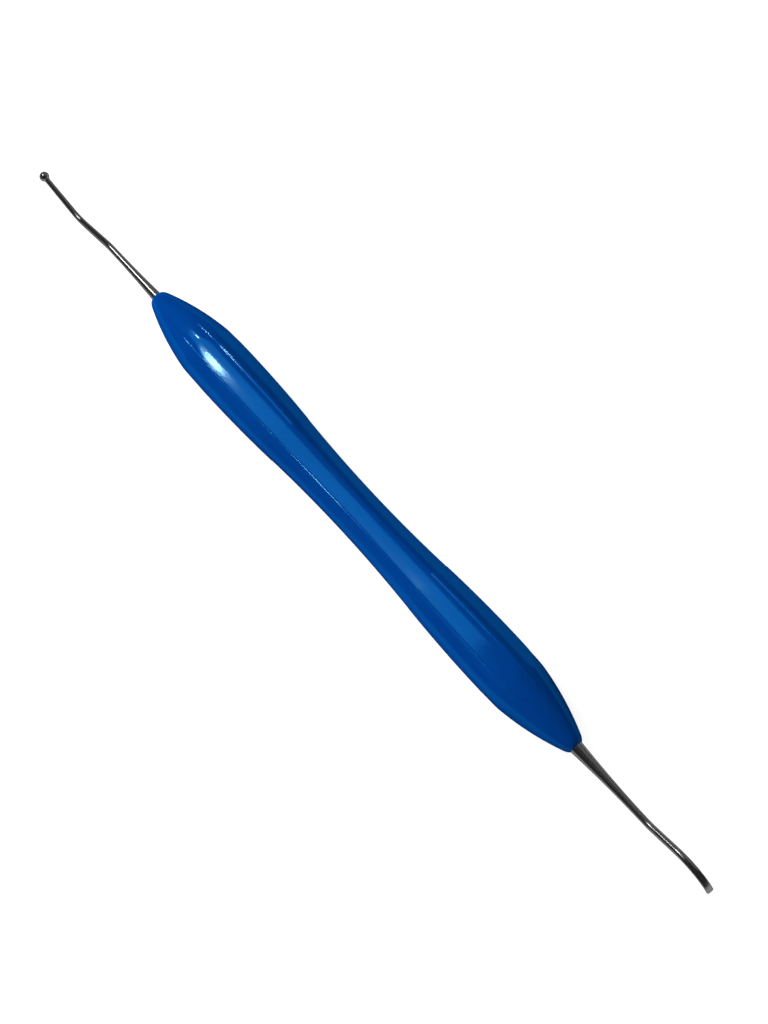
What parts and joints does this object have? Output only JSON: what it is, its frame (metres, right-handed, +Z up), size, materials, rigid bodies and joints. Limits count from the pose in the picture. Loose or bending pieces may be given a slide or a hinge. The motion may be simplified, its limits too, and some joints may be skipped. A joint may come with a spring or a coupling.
{
  "type": "retraction cord packer",
  "caption": "Double-ended gingival retraction cord packer: dumb-bell shaped octagonal plastic handle, a bent steel end with a round disc and one with a curved flat paddle.",
  "frame": {"origin": "under the middle of the whole instrument, on the surface that it lies on", "axes": "+X along the handle towards the paddle end, +Z up from the surface, +Y across"},
  "size_m": [0.1758, 0.0106, 0.0105],
  "materials": {
    "handle": "glossy moulded blue",
    "steel": "polished stainless steel"
  },
  "bodies": {
    "root": {"handle": "handle", "disc_end": "steel", "paddle_end": "steel"}
  },
  "joints": []
}
